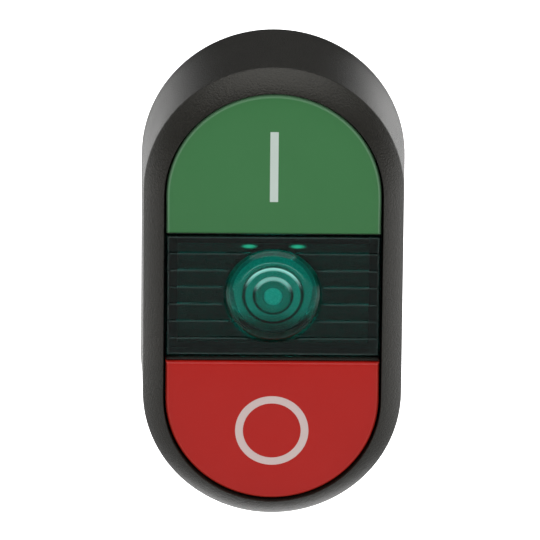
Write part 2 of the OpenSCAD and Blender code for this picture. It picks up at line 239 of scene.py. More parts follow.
bezel_low, bezel_high = box_of("bezel")
lip_r = bezel_high.x
bezel_r = lip_r - LIP_OUT
straight = bezel_high.z - lip_r
bezel_front = -bezel_low.y
bezel_foot = -bezel_high.y
rim_r = bezel_r - WALL_DRAFT
rim_edge = bezel_front - RIM_RISE
opening_r = rim_r - RIM_WIDTH - OPENING_TIGHT
rebate_r = bezel_r - WALL_THICKNESS
plate_level = -box_of("panel_gasket")[0].y + PLATE_THICKNESS


def black_nylon(name, grain, roughness, dark, light, depth):
    """Black glass-filled nylon: near-black with a dull sheen and a fine eroded grain."""
    material, tree = new_material(name)
    coords = add_node(tree, "ShaderNodeTexCoord").outputs["Object"]
    grit = add_node(tree, "ShaderNodeTexNoise", inputs={
        "Vector": coords, "Scale": 1 / (grain * MM), "Detail": 3.0, "Roughness": 0.6})
    drift = add_node(tree, "ShaderNodeTexNoise", inputs={
        "Vector": coords, "Scale": 1 / (9 * MM), "Detail": 2.0})
    fleck = add_node(tree, "ShaderNodeValToRGB", inputs={"Fac": grit.outputs["Fac"]})
    fleck.color_ramp.elements[0].position = 0.35
    fleck.color_ramp.elements[0].color = linear(dark)
    fleck.color_ramp.elements[1].position = 0.8
    fleck.color_ramp.elements[1].color = linear(light)
    worn = add_node(tree, "ShaderNodeMapRange", inputs={
        "Value": drift.outputs["Fac"], "To Min": roughness - 0.05, "To Max": roughness + 0.06})
    bump = add_node(tree, "ShaderNodeBump", inputs={
        "Height": grit.outputs["Fac"], "Strength": 0.8, "Distance": depth * MM})
    show(tree, add_node(tree, "ShaderNodeBsdfPrincipled", inputs={
        "Base Color": fleck.outputs["Color"], "Roughness": worn.outputs[0],
        "Normal": bump.outputs["Normal"], "IOR": 1.5, "Specular Tint": linear("#fffdf6")}))
    return material


# Spark-eroded nylon: a dull, slightly warm sheen that breaks up into fine grain where light grazes.
# The grain is drawn about twice its real size of 0.1 mm, so that it shows at all.
eroded_black = black_nylon("spark_eroded_black_nylon", grain=0.22, roughness=0.36,
                           dark="#11100d", light="#24221d", depth=0.1)


def sweep_racetrack(bm, profile):
    """Sweeps a closed profile of (radius, out) points round the racetrack outline."""
    verts = [bm.verts.new(at(r, -straight, out)) for r, out in profile]
    edges = [bm.edges.new(pair) for pair in zip(verts, verts[1:] + verts[:1])]
    for side in (1, -1):
        run = bmesh.ops.extrude_edge_only(bm, edges=edges)["geom"]
        run_verts = [g for g in run if isinstance(g, bmesh.types.BMVert)]
        run_edges = [g for g in run if isinstance(g, bmesh.types.BMEdge)]
        bmesh.ops.translate(bm, vec=at(0, 2 * straight * side), verts=run_verts)
        turned = bmesh.ops.spin(bm, geom=run_verts + run_edges, cent=at(0, side * straight),
                                axis=(0, -1, 0), angle=pi, steps=STEPS, use_duplicate=False)
        edges = [g for g in turned["geom_last"] if isinstance(g, bmesh.types.BMEdge)]
    bmesh.ops.remove_doubles(bm, verts=bm.verts, dist=0.002 * MM)


def ring_edges(bm, radius, out):
    """The edges of the loop that a profile's point leaves behind in a racetrack sweep."""
    def on_loop(vert):
        across, up = vert.co.x / MM, max(abs(vert.co.z / MM) - straight, 0)
        return abs(hypot(across, up) - radius) < 0.02 and abs(-vert.co.y / MM - out) < 0.02
    return [e for e in bm.edges if on_loop(e.verts[0]) and on_loop(e.verts[1])]


def round_edges(bm, edges, radius, segments=3):
    """Rounds edges by a radius in mm."""
    bmesh.ops.bevel(bm, geom=edges, offset=radius * MM, offset_type="OFFSET", segments=segments,
                    profile=0.5, affect="EDGES", material=-1, clamp_overlap=True)


def racetrack_outline(bm, radius, out):
    """Draws a flat racetrack outline."""
    last = [bm.verts.new(at(radius, -straight, out))]
    for side in (1, -1):
        made = bmesh.ops.extrude_vert_indiv(bm, verts=last)
        bmesh.ops.translate(bm, vec=at(0, 2 * straight * side), verts=made["verts"])
        bmesh.ops.spin(bm, geom=made["verts"], cent=at(0, side * straight), axis=(0, -1, 0),
                       angle=pi, steps=STEPS, use_duplicate=False)
        bm.verts.ensure_lookup_table()
        last = [bm.verts[-1]]


def circle_outline(bm, across, up, out, radius, steps=64):
    """Draws a flat circle round a place."""
    turn = Matrix.Translation(at(across, up, out)) @ Matrix.Rotation(pi / 2, 4, "X")
    bmesh.ops.create_circle(bm, segments=steps, radius=radius * MM, matrix=turn)


def box_outline(bm, across, up, out, width, height):
    """Draws a flat rectangle round a place."""
    verts = [bm.verts.new(at(across + sx * width / 2, up + sy * height / 2, out))
             for sx, sy in ((-1, -1), (1, -1), (1, 1), (-1, 1))]
    for pair in zip(verts, verts[1:] + verts[:1]):
        bm.edges.new(pair)


def fill_and_thicken(bm, depth):
    """Fills every outline in bm, with the inner ones as holes, and thickens it backwards."""
    bmesh.ops.remove_doubles(bm, verts=bm.verts, dist=0.002 * MM)
    bmesh.ops.triangle_fill(bm, use_beauty=True, edges=bm.edges[:])
    made = bmesh.ops.extrude_face_region(bm, geom=bm.faces[:], use_keep_orig=True)["geom"]
    verts = [g for g in made if isinstance(g, bmesh.types.BMVert)]
    bmesh.ops.translate(bm, vec=at(0, 0, -depth), verts=verts)
    bmesh.ops.recalc_face_normals(bm, faces=bm.faces[:])


def block(width, height, low, high, across=0.0, up=0.0):
    """A bmesh with one square block between two distances out from the panel."""
    bm = bmesh.new()
    bmesh.ops.create_cube(bm, size=1)
    bmesh.ops.scale(bm, vec=Vector((width, high - low, height)) * MM, verts=bm.verts)
    bmesh.ops.translate(bm, vec=at(across, up, (low + high) / 2), verts=bm.verts)
    return bm


def take_in(bm, other):
    """Adds the mesh of another bmesh to bm, and frees the other."""
    mesh = bpy.data.meshes.new("part")
    other.to_mesh(mesh)
    other.free()
    bm.from_mesh(mesh)
    bpy.data.meshes.remove(mesh)


def sharp_rims(bm, least=50):
    """The edges where two faces meet at more than a number of degrees."""
    return [e for e in bm.edges if len(e.link_faces) == 2
            and e.calc_face_angle(0) > radians(least)]


def make_piece(name, bm, material, body, slot, *nodes, sharp=32):
    """Turns bm into an object that rides on a CAD body and stands for CAD nodes."""
    bmesh.ops.recalc_face_normals(bm, faces=bm.faces[:])
    mesh = bpy.data.meshes.new(name)
    bm.to_mesh(mesh)
    bm.free()
    mesh.materials.append(material)
    mesh.polygons.foreach_set("use_smooth", [True] * len(mesh.polygons))
    mesh.set_sharp_from_angle(angle=radians(sharp))
    piece = bpy.data.objects.new(name, mesh)
    bpy.context.scene.collection.objects.link(piece)
    if body:
        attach(piece, body)
    if nodes:
        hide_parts(*nodes)
    return piece


bezel = bmesh.new()
rim_middle = (rim_r - 0.45 * RIM_WIDTH, rim_edge + 0.5 * RIM_RISE + RIM_BULGE)
sweep_racetrack(bezel, [
    (rebate_r, bezel_foot), (lip_r, bezel_foot), (lip_r, LIP_HEIGHT), (bezel_r, LIP_FLARE),
    (rim_r, rim_edge), rim_middle, (opening_r, bezel_front),
    (opening_r, plate_level), (rebate_r, plate_level)])
round_edges(bezel, ring_edges(bezel, lip_r, bezel_foot), 0.15)
round_edges(bezel, ring_edges(bezel, lip_r, LIP_HEIGHT), 0.08)
round_edges(bezel, ring_edges(bezel, rim_r, rim_edge), 0.18)
round_edges(bezel, ring_edges(bezel, *rim_middle), 0.9, segments=5)
round_edges(bezel, ring_edges(bezel, opening_r, bezel_front), 0.14)

deck_front = -box_of("window_seal")[1].y
deck = bmesh.new()
racetrack_outline(deck, opening_r + 0.3, deck_front)
stem_z = (box_of("start_boot")[0].z + box_of("start_boot")[1].z) / 2
for hole_z, hole_r in ((stem_z, DECK_HOLE_R), (-stem_z, DECK_HOLE_R), (0, GUIDE_HOLE_R)):
    circle_outline(deck, 0, hole_z, deck_front, hole_r)
fill_and_thicken(deck, DECK_THICKNESS)
take_in(bezel, deck)

window_low, window_high = box_of("window")
well_r = box_of("diffuser")[1].x + SET_IN
turret_top = -box_of("diffuser")[0].y + SET_IN
turret = bmesh.new()
box_outline(turret, 0, 0, turret_top, 2 * (window_high.x - WINDOW_WALL - SET_IN),
            2 * (window_high.z - WINDOW_WALL - SET_IN))
circle_outline(turret, 0, 0, turret_top, well_r)
fill_and_thicken(turret, turret_top - deck_front + 0.3)
take_in(bezel, turret)

# The two caps' inner edges lie at the same distance in the CAD, one above the window, one below.
red_inner = box_of("start_cap")[0].z
green_inner = red_inner - GREEN_REACH
for side, cap_inner, drop in ((1, green_inner, UPPER_RIDGE_DROP), (-1, red_inner, LOWER_RIDGE_DROP)):
    ridge = block(2 * window_high.x, RIDGE_THICKNESS, deck_front - 0.1, cap_face - drop,
                  up=side * (window_high.z + cap_inner) / 2)
    round_edges(ridge, sharp_rims(ridge), 0.08, segments=2)
    take_in(bezel, ridge)
make_piece("bezel_moulding", bezel, eroded_black, "head", "black_moulding", "bezel")

# ---------------------------------------------------------------- light path
# A clear acrylic rod brings the lamp's light from the barrel to a frosted polycarbonate disc under
# the round lens. An O-ring seals the rod to the back of the deck.

# Frosted polycarbonate: a pale, sugary disc. Its lower part is drawn dark, to stand for the
# bezel's shade.
frosted, tree = new_material("frosted_polycarbonate")
coords = add_node(tree, "ShaderNodeTexCoord").outputs["Object"]
frost = add_node(tree, "ShaderNodeTexVoronoi", inputs={"Vector": coords, "Scale": 1 / (0.45 * MM)})
frost_tone = add_node(tree, "ShaderNodeMix", {"data_type": "RGBA"}, {
    "Factor": frost.outputs["Distance"], "A": linear("#88968e"), "B": linear("#6a7b71")})
up_disc = add_node(tree, "ShaderNodeSeparateXYZ", inputs={"Vector": coords}).outputs["Z"]
frost_shade = add_node(tree, "ShaderNodeMix", {"data_type": "RGBA"}, {
    "Factor": fade(tree, up_disc, -4.6 * MM, -1.0 * MM, 1.0),
    "A": linear("#141c19"), "B": frost_tone.outputs[2]})
frost_bump = add_node(tree, "ShaderNodeBump", inputs={
    "Height": frost.outputs["Distance"], "Strength": 0.6, "Distance": 0.15 * MM})
show(tree, add_node(tree, "ShaderNodeBsdfPrincipled", inputs={
    "Base Color": frost_shade.outputs[2], "Roughness": 0.35,
    "Normal": frost_bump.outputs["Normal"]}))


def dress(node, material):
    """Gives a CAD node that is shown as it is its finished material."""
    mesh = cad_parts[node].data
    mesh.materials.clear()
    mesh.materials.append(material)


# Clear acrylic: glassy, with the faint ripple of a moulded rod.
clear_acrylic, tree = new_material("clear_acrylic")
coords = add_node(tree, "ShaderNodeTexCoord").outputs["Object"]
rod_ripple = add_node(tree, "ShaderNodeTexNoise", inputs={"Vector": coords, "Scale": 1 / (2.5 * MM)})
rod_bump = add_node(tree, "ShaderNodeBump", inputs={
    "Height": rod_ripple.outputs["Fac"], "Strength": 0.15, "Distance": 0.05 * MM})
show(tree, add_node(tree, "ShaderNodeBsdfPrincipled", inputs={
    "Base Color": linear("#eef6f2"), "Roughness": 0.04, "IOR": 1.49, "Transmission Weight": 1.0,
    "Normal": rod_bump.outputs["Normal"]}))


def soft_rubber(name, tone, grain, roughness):
    """Moulded rubber: dark, with a dull and slightly dusty surface."""
    material, tree = new_material(name)
    coords = add_node(tree, "ShaderNodeTexCoord").outputs["Object"]
    dust = add_node(tree, "ShaderNodeTexNoise", inputs={
        "Vector": coords, "Scale": 1 / (grain * MM), "Detail": 4.0})
    tint = add_node(tree, "ShaderNodeMix", {"data_type": "RGBA"}, {
        "Factor": dust.outputs["Fac"], "A": linear(tone), "B": linear("#2c2b29")})
    bump = add_node(tree, "ShaderNodeBump", inputs={
        "Height": dust.outputs["Fac"], "Strength": 0.25, "Distance": 0.03 * MM})
    show(tree, add_node(tree, "ShaderNodeBsdfPrincipled", inputs={
        "Base Color": tint.outputs[2], "Roughness": roughness, "Normal": bump.outputs["Normal"]}))
    return material


# Nitrile rubber: black and matt, a little dusty.
nitrile = soft_rubber("black_nitrile_rubber", "#0e0e0e", grain=0.6, roughness=0.65)
dress("diffuser", frosted)
dress("light_guide", clear_acrylic)
dress("guide_o_ring", nitrile)
dress("window_seal", nitrile)

# ---------------------------------------------------------------- window
# The window is one injection moulding of dark green clear polycarbonate, clipped over the turret.
# Fine ribs run across its face, and a round lens with a stepped recess behind it stands up in its
# middle.
WINDOW_FACE_T = 1.5
WINDOW_FULLNESS = 0.08
RIB_PITCH = 2.07
RIB_WIDTH = 0.3
RIB_RISE = 0.2
RIB_MARGIN = 0.25
RIB_CLEAR_R = 5.9      # the ribs stop this far from the lens's middle
LENS_R = 5.7
LENS_TOP_R = 4.7
LENS_RISE = 1.0
RECESS_RADII = (4.48, 3.33, 2.19, 1.06)
RING_RISE = 0.35       # height of each step of the recess behind the lens
RING_SLOPE = 0.18
# How frosted the rings behind the lens are drawn, and how strong the arcs on it, by radius.
RING_BANDS = ((0.0, 0.9), (1.0, 0.9), (1.12, 0.3), (1.9, 0.2), (2.25, 0.0), (2.42, 0.4), (3.1, 0.4),
              (3.25, 0.05), (3.5, 0.05), (3.65, 0.35), (4.45, 0.45), (4.6, 0.0))
ARC_BANDS = ((0.0, 0.0), (1.85, 0.0), (2.05, 0.5), (2.35, 0.55), (2.5, 0.0), (3.08, 0.0),
             (3.25, 0.55), (3.45, 0.95), (3.58, 0.0), (4.02, 0.0), (4.12, 0.2), (4.25, 0.0))
BAND_REACH = 5         # radius at the end of both scales
ARC_LIFT = 0.27        # how far above the lens's middle the arcs are centred
SPOT_ACROSS = 2.8
SPOT_UP = 6.06
SPOT_SHARE = 0.3       # how much a sideways distance counts, which makes each spot wide

lens_top = -window_low.y
window_face = lens_top - LENS_RISE
window_back = -window_high.y


def length_of(tree, vector):
    """The length of a vector."""
    return add_node(tree, "ShaderNodeVectorMath", {"operation": "LENGTH"}, {0: vector}).outputs["Value"]


def move_by(tree, vector, operation, amount):
    """A vector with a fixed one taken from it or multiplied into it."""
    return add_node(tree, "ShaderNodeVectorMath", {"operation": operation}, {
        0: vector, 1: amount}).outputs[0]


def banded(tree, distance, bands):
    """A strength that follows bands of (radius in mm, strength) from the middle outwards."""
    share = add_node(tree, "ShaderNodeMapRange", inputs={
        "Value": distance, "From Max": BAND_REACH * MM}).outputs[0]
    ramp = add_node(tree, "ShaderNodeValToRGB", inputs={"Fac": share})
    stops = ramp.color_ramp.elements
    stops.remove(stops[0])
    for band_r, strength in bands:
        stops.new(band_r / BAND_REACH).color = (strength, strength, strength, 1.0)
    stops.remove(stops[-1])
    return ramp.outputs["Color"]


def outside(tree, out, start, end, strength=1.0):
    """A mask that rises between two distances out from the panel, in mm."""
    return fade(tree, out, -start * MM, -end * MM, strength)


# Tinted polycarbonate: dark bottle green with a thin, weakened gloss, and drawn deeper in the
# plate than in the lens.
tinted, tree = new_material("green_tinted_polycarbonate")
coords = add_node(tree, "ShaderNodeTexCoord").outputs["Object"]
place = add_node(tree, "ShaderNodeSeparateXYZ", inputs={"Vector": coords})
across, behind_panel, up = place.outputs["X"], place.outputs["Y"], place.outputs["Z"]
flow = add_node(tree, "ShaderNodeTexNoise", inputs={"Vector": coords, "Scale": 1 / (1.5 * MM)})
flow_bump = add_node(tree, "ShaderNodeBump", inputs={
    "Height": flow.outputs["Fac"], "Strength": 0.12, "Distance": 0.05 * MM})
flat_place = add_node(tree, "ShaderNodeCombineXYZ", inputs={"X": across, "Z": up}).outputs[0]
radius = length_of(tree, flat_place)
depth_tint = add_node(tree, "ShaderNodeMix", {"data_type": "RGBA"}, {
    "Factor": fade(tree, radius, 4.8 * MM, 5.6 * MM, 1.0),
    "A": linear("#1ae1ce"), "B": linear("#1caa9c")})
clear = add_node(tree, "ShaderNodeBsdfPrincipled", inputs={
    "Base Color": depth_tint.outputs[2], "Roughness": 0.04, "IOR": 1.58,
    "Transmission Weight": 1.0, "Specular Tint": linear("#b4b6b4"),
    "Normal": flow_bump.outputs["Normal"]})

# The rings behind the lens are frosted. This is drawn by radius on the recess, and fades out low
# down to stand for the bezel's shade.
shade = fade(tree, up, -3.9 * MM, -1.2 * MM, 1.0)
behind = outside(tree, behind_panel, window_face - 0.02, window_face - 0.06)
eroded = combine(tree, "MULTIPLY", combine(tree, "MULTIPLY", banded(tree, radius, RING_BANDS), shade),
                 behind)

# The ribs' crests and a line just inside the window's edge are drawn a little paler, as painted
# highlights.
crest = outside(tree, behind_panel, window_face + RIB_RISE - 0.05, window_face + RIB_RISE - 0.01, 0.045)
off_lens = fade(tree, radius, (LENS_R + 0.2) * MM, (LENS_R + 0.4) * MM, 1.0)
off_edge = combine(
    tree, "MINIMUM",
    combine(tree, "SUBTRACT", window_high.z * MM, combine(tree, "ABSOLUTE", up, 0.0)),
    combine(tree, "SUBTRACT", (window_high.x + WINDOW_FULLNESS) * MM,
            combine(tree, "ABSOLUTE", across, 0.0)))
edge_highlight = combine(tree, "MULTIPLY", fade(tree, off_edge, 0.15 * MM, 0.25 * MM, 0.05),
                    fade(tree, off_edge, 0.42 * MM, 0.32 * MM, 1.0))
at_face = outside(tree, behind_panel, window_face - 0.4, window_face - 0.3)
# Painted highlights: the edge line and the rib crests join the frosting mask, which already holds painted
# shade low down.
eroded = combine(tree, "ADD", eroded, combine(tree, "MULTIPLY", edge_highlight, at_face))
eroded = combine(tree, "ADD", eroded, combine(tree, "MULTIPLY", crest, off_lens))
sparkle = add_node(tree, "ShaderNodeTexNoise", inputs={
    "Vector": coords, "Scale": 1 / (0.12 * MM), "Detail": 2.0})
sparkle_tone = add_node(tree, "ShaderNodeMix", {"data_type": "RGBA"}, {
    "Factor": fade(tree, sparkle.outputs["Fac"], 0.35, 0.75, 1.0),
    "A": linear("#9fe8dc"), "B": linear("#f2fffb")})
sparkle_bump = add_node(tree, "ShaderNodeBump", inputs={
    "Height": sparkle.outputs["Fac"], "Strength": 0.8, "Distance": 0.04 * MM})
frosting = add_node(tree, "ShaderNodeBsdfPrincipled", inputs={
    "Base Color": sparkle_tone.outputs[2], "Roughness": 0.5,
    "Normal": sparkle_bump.outputs["Normal"]})
# The frosting, with its painted shade and painted highlights, is mixed over the clear polycarbonate.
surface = add_node(tree, "ShaderNodeMixShader", inputs={
    0: eroded, 1: clear.outputs[0], 2: frosting.outputs[0]})

# Bright arcs, such as the upper walls of the steps throw back. They are drawn on the lens, not
# traced, and stay as they are under any light.
arcs = banded(tree, length_of(tree, move_by(tree, flat_place, "SUBTRACT", (0, 0, ARC_LIFT * MM))),
              ARC_BANDS)
upper = fade(tree, combine(tree, "DIVIDE", up, radius), 0.3, 0.9, 1.0)
on_top = outside(tree, behind_panel, lens_top - 0.3, lens_top - 0.2)
arcs = combine(tree, "MULTIPLY", combine(tree, "MULTIPLY", arcs, upper), on_top)
arc_glint = add_node(tree, "ShaderNodeBsdfPrincipled", inputs={
    "Base Color": linear("#a4f2e6"), "Roughness": 0.3, "Normal": sparkle_bump.outputs["Normal"]})
surface = add_node(tree, "ShaderNodeMixShader", inputs={
    0: arcs, 1: surface.outputs[0], 2: arc_glint.outputs[0]})

# Two small bright spots above the lens, as if its foot gathered light. They are drawn as well.
spot_glint = add_node(tree, "ShaderNodeBsdfPrincipled", inputs={
    "Base Color": linear("#0fbe93"), "Roughness": 0.3})
on_face = outside(tree, behind_panel, window_face - 0.5, window_face - 0.3)
for side in (-1, 1):
    reach = move_by(tree, flat_place, "SUBTRACT", (side * SPOT_ACROSS * MM, 0, SPOT_UP * MM))
    reach = length_of(tree, move_by(tree, reach, "MULTIPLY", (SPOT_SHARE, 0, 1)))
    spot = combine(tree, "MULTIPLY", fade(tree, reach, 0.36 * MM, 0.05 * MM, 0.85), on_face)
    surface = add_node(tree, "ShaderNodeMixShader", inputs={
        0: spot, 1: surface.outputs[0], 2: spot_glint.outputs[0]})
show(tree, surface)


def apply_booleans(piece, tools):
    """Unites or cuts a piece with other objects in turn, then removes those objects."""
    for tool, operation in tools:
        modifier = piece.modifiers.new(tool.name, "BOOLEAN")
        modifier.object = tool
        modifier.operation = operation
        modifier.solver = "EXACT"
        bpy.context.view_layer.update()
        shaped = bpy.data.meshes.new_from_object(
            piece.evaluated_get(bpy.context.evaluated_depsgraph_get()))
        piece.modifiers.clear()
        piece.data = shaped
        bpy.data.objects.remove(tool)


def loose_object(name, bm):
    """A helper object that a boolean uses."""
    bmesh.ops.recalc_face_normals(bm, faces=bm.faces[:])
    mesh = bpy.data.meshes.new(name)
    bm.to_mesh(mesh)
    bm.free()
    made = bpy.data.objects.new(name, mesh)
    bpy.context.scene.collection.objects.link(made)
    return made


def turned(profile, across=0.0, up=0.0, steps=96, closed=True):
    """A bmesh turned from (radius, out) points round an axis that points out from the panel."""
    bm = bmesh.new()
    verts = [bm.verts.new(at(r, 0, out)) for r, out in profile]
    pairs = zip(verts, verts[1:] + verts[:1]) if closed else zip(verts, verts[1:])
    edges = [bm.edges.new(pair) for pair in pairs]
    bmesh.ops.spin(bm, geom=verts + edges, cent=(0, 0, 0), axis=(0, -1, 0), angle=tau, steps=steps,
                   use_merge=True, use_duplicate=False)
    bmesh.ops.remove_doubles(bm, verts=bm.verts, dist=0.001 * MM)
    bmesh.ops.translate(bm, vec=at(across, up), verts=bm.verts)
    bmesh.ops.recalc_face_normals(bm, faces=bm.faces[:])
    return bm


window = block(2 * (window_high.x + WINDOW_FULLNESS), 2 * window_high.z, window_back, window_face)
back = [f for f in window.faces if f.normal.y > 0.9]
bmesh.ops.inset_region(window, faces=back, thickness=WINDOW_WALL * MM, use_even_offset=True)
cavity = bmesh.ops.extrude_face_region(window, geom=back)["geom"]
bmesh.ops.translate(window, vec=at(0, 0, window_face - WINDOW_FACE_T - window_back),
                    verts=[g for g in cavity if isinstance(g, bmesh.types.BMVert)])
bmesh.ops.delete(window, geom=back, context="FACES_ONLY")
front_rim = [e for e in sharp_rims(window) if all(-v.co.y / MM > window_face - 0.01 for v in e.verts)]
round_edges(window, front_rim, 0.22, segments=2)

ribs = bmesh.new()
rib_count = int(2 * window_high.z / RIB_PITCH) - 1
for row in range(rib_count):
    rib = block(2 * (window_high.x - RIB_MARGIN), RIB_WIDTH, window_face - 0.2,
                window_face + RIB_RISE, up=(row - (rib_count - 1) / 2) * RIB_PITCH)
    top_edges = [e for e in sharp_rims(rib) if all(-v.co.y / MM > window_face for v in e.verts)]
    round_edges(rib, top_edges, 0.12, segments=2)
    take_in(ribs, rib)
rib_object = loose_object("ribs", ribs)
rib_cutter = loose_object("rib_cutter", turned(
    [(0, window_face - 1), (RIB_CLEAR_R, window_face - 1), (RIB_CLEAR_R, window_face + 1),
     (0, window_face + 1)], closed=False))
apply_booleans(rib_object, [(rib_cutter, "DIFFERENCE")])

lens = loose_object("lens", turned([
    (0, window_face - 0.8), (LENS_R, window_face - 0.8), (LENS_R, window_face + 0.12),
    (LENS_R - 0.12, window_face + 0.3), (LENS_TOP_R + 0.12, window_face + 0.82),
    (LENS_TOP_R - 0.1, window_face + 0.93), (LENS_TOP_R - 0.5, window_face + 0.97),
    (2, lens_top - 0.005), (0, lens_top)], closed=False))

recess_foot = window_face - WINDOW_FACE_T
recess_profile = [(0, recess_foot - 0.5)]
level = recess_foot - 0.5
for step, ring_r in enumerate(RECESS_RADII):
    recess_profile.append((ring_r + RING_SLOPE, level))
    level = recess_foot + (step + 1) * RING_RISE
    recess_profile.append((ring_r - RING_SLOPE, level))
recess_profile.append((0, level))
recess = loose_object("recess", turned(recess_profile, closed=False))

window_piece = make_piece("window_moulding", window, tinted, "head", "green_window", "window")
apply_booleans(window_piece, [(rib_object, "UNION"), (lens, "UNION"), (recess, "DIFFERENCE")])
window_piece.data.polygons.foreach_set("use_smooth", [True] * len(window_piece.data.polygons))
window_piece.data.set_sharp_from_angle(angle=radians(25))

# ---------------------------------------------------------------- caps and marks
# Each cap is moulded in two shots: a coloured satin shell, and a white mark flush with its face.
# The bar for start and the ring for stop are the plain on and off symbols.
CAP_EDGE = 0.4
CAP_FULLNESS = 0.07    # how much larger the cap's radius is than in the CAD
CAP_SKIRT = 2.0
MARK_DEPTH = 0.5
BAR_SHORT = 0.22       # how far the bar stops short of its lower end in the CAD
RING_LINE = 0.9

cap_r = box_of("start_cap")[1].x + CAP_FULLNESS


def satin_plastic(name, tone, deep, roughness, edge_highlight_tone):
    """Satin moulded plastic: even colour with a slight drift, fine grain and a painted highlight tone
    along its edge.
    """
    material, tree = new_material(name)
    coords = add_node(tree, "ShaderNodeTexCoord").outputs["Object"]
    drift = add_node(tree, "ShaderNodeTexNoise", inputs={
        "Vector": coords, "Scale": 1 / (6 * MM), "Detail": 3.0})
    grit = add_node(tree, "ShaderNodeTexNoise", inputs={
        "Vector": coords, "Scale": 1 / (0.35 * MM), "Detail": 2.0})
    tint = add_node(tree, "ShaderNodeMix", {"data_type": "RGBA"}, {
        "Factor": drift.outputs["Fac"], "A": linear(tone), "B": linear(deep)})
    place = add_node(tree, "ShaderNodeSeparateXYZ", inputs={"Vector": coords})
    beyond = combine(tree, "MAXIMUM", combine(tree, "SUBTRACT", combine(
        tree, "ABSOLUTE", place.outputs["Z"], 0.0), straight * MM), 0.0)
    out_r = length_of(tree, add_node(tree, "ShaderNodeCombineXYZ", inputs={
        "X": place.outputs["X"], "Z": beyond}).outputs[0])
    # The paler tone near the outline is a painted highlight where the edge turns over.
    tint = add_node(tree, "ShaderNodeMix", {"data_type": "RGBA"}, {
        "Factor": fade(tree, out_r, (cap_r - 0.45) * MM, (cap_r - 0.28) * MM, 1.0),
        "A": tint.outputs[2], "B": linear(edge_highlight_tone)})
    bump = add_node(tree, "ShaderNodeBump", inputs={
        "Height": grit.outputs["Fac"], "Strength": 0.2, "Distance": 0.01 * MM})
    gloss = add_node(tree, "ShaderNodeMapRange", inputs={
        "Value": drift.outputs["Fac"], "To Min": roughness - 0.04, "To Max": roughness + 0.04})
    show(tree, add_node(tree, "ShaderNodeBsdfPrincipled", inputs={
        "Base Color": tint.outputs[2], "Roughness": gloss.outputs[0],
        "Normal": bump.outputs["Normal"]}))
    return material


# Satin ABS, green and red: soft and even, with a thin painted highlight line where the edge turns over.
# The marks are the second shot in the same satin finish, one cooler and one warmer white.
green_satin = satin_plastic("green_satin_cap", "#3b7845", "#387542", 0.34, "#66956e")
red_satin = satin_plastic("red_satin_cap", "#b4160d", "#af140b", 0.34, "#bf2c22")
cool_white = satin_plastic("white_second_shot_in_green", "#cad7cf", "#c4d1c9", 0.45, "#cad7cf")
warm_white = satin_plastic("white_second_shot_in_red", "#d6c2be", "#d0bcb8", 0.45, "#d6c2be")

mark_low, mark_high = box_of("start_mark")
mark_low.z += BAR_SHORT
mark_middle = (mark_low + mark_high) / 2
mark_size = mark_high - mark_low
ring_low, ring_high = box_of("stop_mark")


def cap_outline(bm, side):
    """The D-shaped outline of a cap, at its face, with side 1 at the top and -1 below."""
    cap_start = green_inner if side == 1 else red_inner
    vert = bm.verts.new(at(side * cap_r, side * cap_start, cap_face))
    up_run = bmesh.ops.extrude_vert_indiv(bm, verts=[vert])
    bmesh.ops.translate(bm, vec=at(0, side * (straight - cap_start)), verts=up_run["verts"])
    bmesh.ops.spin(bm, geom=up_run["verts"], cent=at(0, side * straight), axis=(0, -1, 0),
                   angle=pi, steps=STEPS, use_duplicate=False)
    bm.verts.ensure_lookup_table()
    down_run = bmesh.ops.extrude_vert_indiv(bm, verts=[bm.verts[-1]])
    bmesh.ops.translate(bm, vec=at(0, side * (cap_start - straight)), verts=down_run["verts"])
    bm.edges.new((down_run["verts"][0], vert))


def is_cap_rim(edge, side):
    """Whether an edge lies on a cap's outline and not on its mark's."""
    cap_start = green_inner if side == 1 else red_inner
    for vert in edge.verts:
        across, up = vert.co.x / MM, side * vert.co.z / MM
        past = max(up - straight, 0)
        if abs(hypot(across, past) - cap_r) > 0.02 and abs(up - cap_start) > 0.02:
            return False
    return True


def make_cap(name, side, mark_outline, material, body, slot, node):
    """One cap: its D-shaped shell with a pocket for its mark and rounded edges."""
    cap = bmesh.new()
    cap_outline(cap, side)
    mark_outline(cap)
    fill_and_thicken(cap, MARK_DEPTH)
    skirt = bmesh.new()
    cap_outline(skirt, side)
    bmesh.ops.translate(skirt, vec=at(0, 0, -MARK_DEPTH), verts=skirt.verts)
    fill_and_thicken(skirt, CAP_SKIRT - MARK_DEPTH)
    outer = [e for e in sharp_rims(cap) if all(-v.co.y / MM > cap_face - 0.01 for v in e.verts)
             and is_cap_rim(e, side)]
    round_edges(cap, outer, CAP_EDGE, segments=4)
    take_in(cap, skirt)
    return make_piece(name, cap, material, body, slot, node)


def bar_outline(bm):
    """The outline of the start mark's pocket."""
    box_outline(bm, 0, mark_middle.z, cap_face, mark_size.x, mark_size.z)


def ring_outline(bm):
    """The two outlines of the stop mark's pocket."""
    middle = (ring_low.z + ring_high.z) / 2
    circle_outline(bm, 0, middle, cap_face, ring_high.x, steps=96)
    circle_outline(bm, 0, middle, cap_face, ring_high.x - RING_LINE, steps=96)


make_cap("start_cap_moulding", 1, bar_outline, green_satin, "start_button", "green_cap", "start_cap")
make_cap("stop_cap_moulding", -1, ring_outline, red_satin, "stop_button", "red_cap", "stop_cap")

bar = block(mark_size.x, mark_size.z, -mark_high.y, -mark_low.y, up=mark_middle.z)
make_piece("start_bar", bar, cool_white, "start_button", "white_mark", "start_mark")
dress("stop_mark", warm_white)

# ---------------------------------------------------------------- plungers and boots
# A natural acetal carrier under each cap takes the push round into the barrel, where a foot
# works a contact block. A silicone diaphragm seals each stem to the deck.

# Natural acetal: waxy, milky white.
acetal = satin_plastic("natural_acetal", "#dcd9cd", "#d3d0c2", 0.35, "#dcd9cd")
for node in ("start_plunger", "stop_plunger", "start_foot", "stop_foot", "guide_plate"):
    dress(node, acetal)

